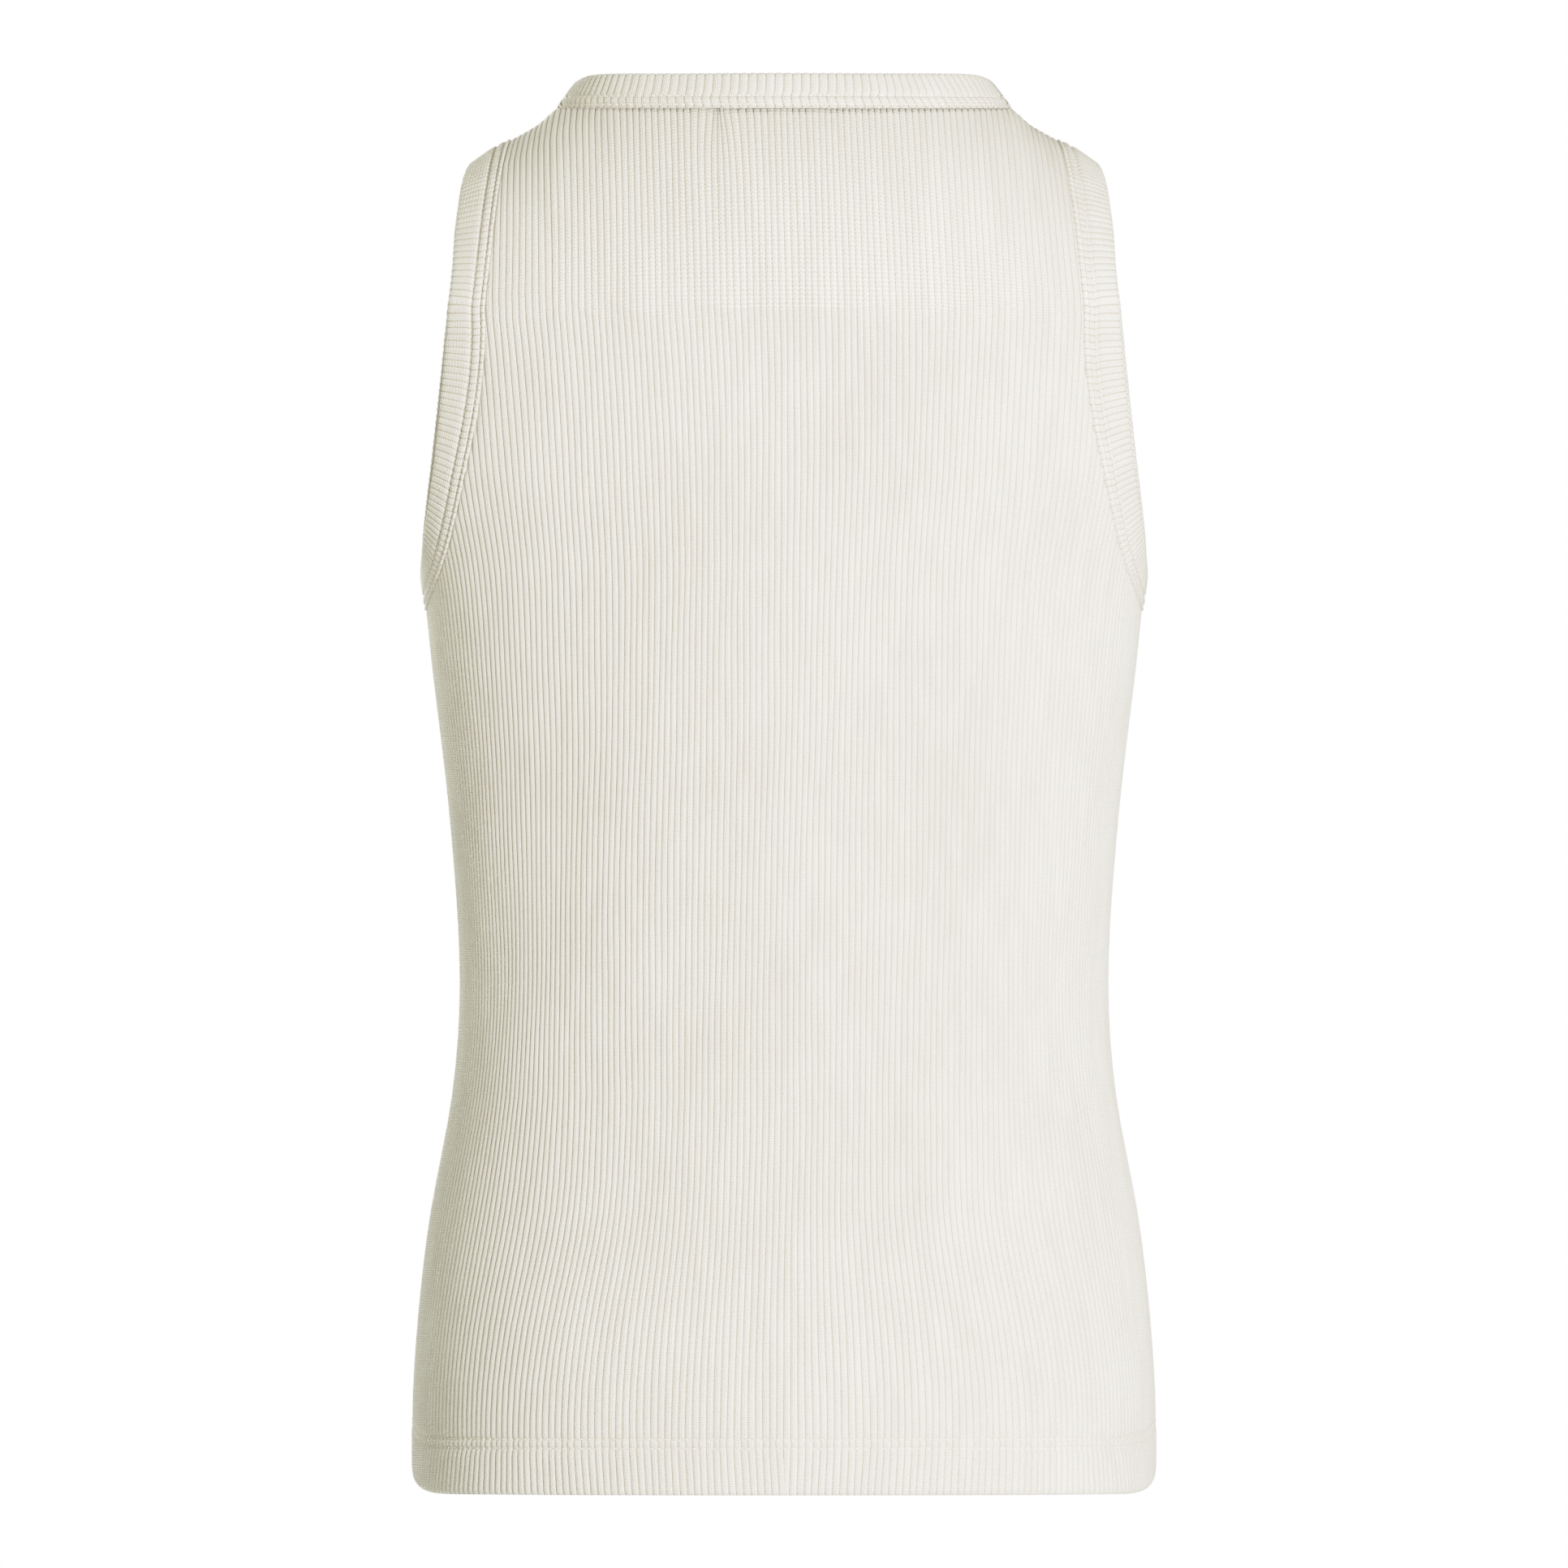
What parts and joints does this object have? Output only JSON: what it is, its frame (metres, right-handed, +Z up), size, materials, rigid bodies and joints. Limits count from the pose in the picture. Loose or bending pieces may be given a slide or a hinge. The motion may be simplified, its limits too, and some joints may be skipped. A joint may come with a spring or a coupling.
{
  "type": "tank top",
  "caption": "Sleeveless rib-knit top, filled out as when worn, with a round neck, bound neck and armholes and a straight hem.",
  "frame": {"origin": "on the centre line between the shoulder seams, at the height where the straps lie on the wearer's shoulders", "axes": "+Z up, the front faces -Y and the back faces +Y, +X to the wearer's left"},
  "size_m": [0.314, 0.2298, 0.5998],
  "materials": {
    "rib_knit": "off-white cotton rib knit, matt",
    "rib_binding": "off-white cotton rib binding, matt"
  },
  "bodies": {
    "root": {"back_panel": "rib_knit", "front_panel": "rib_knit", "neck_band": "rib_binding", "armhole_band_left": "rib_binding", "armhole_band_right": "rib_binding"}
  },
  "joints": []
}
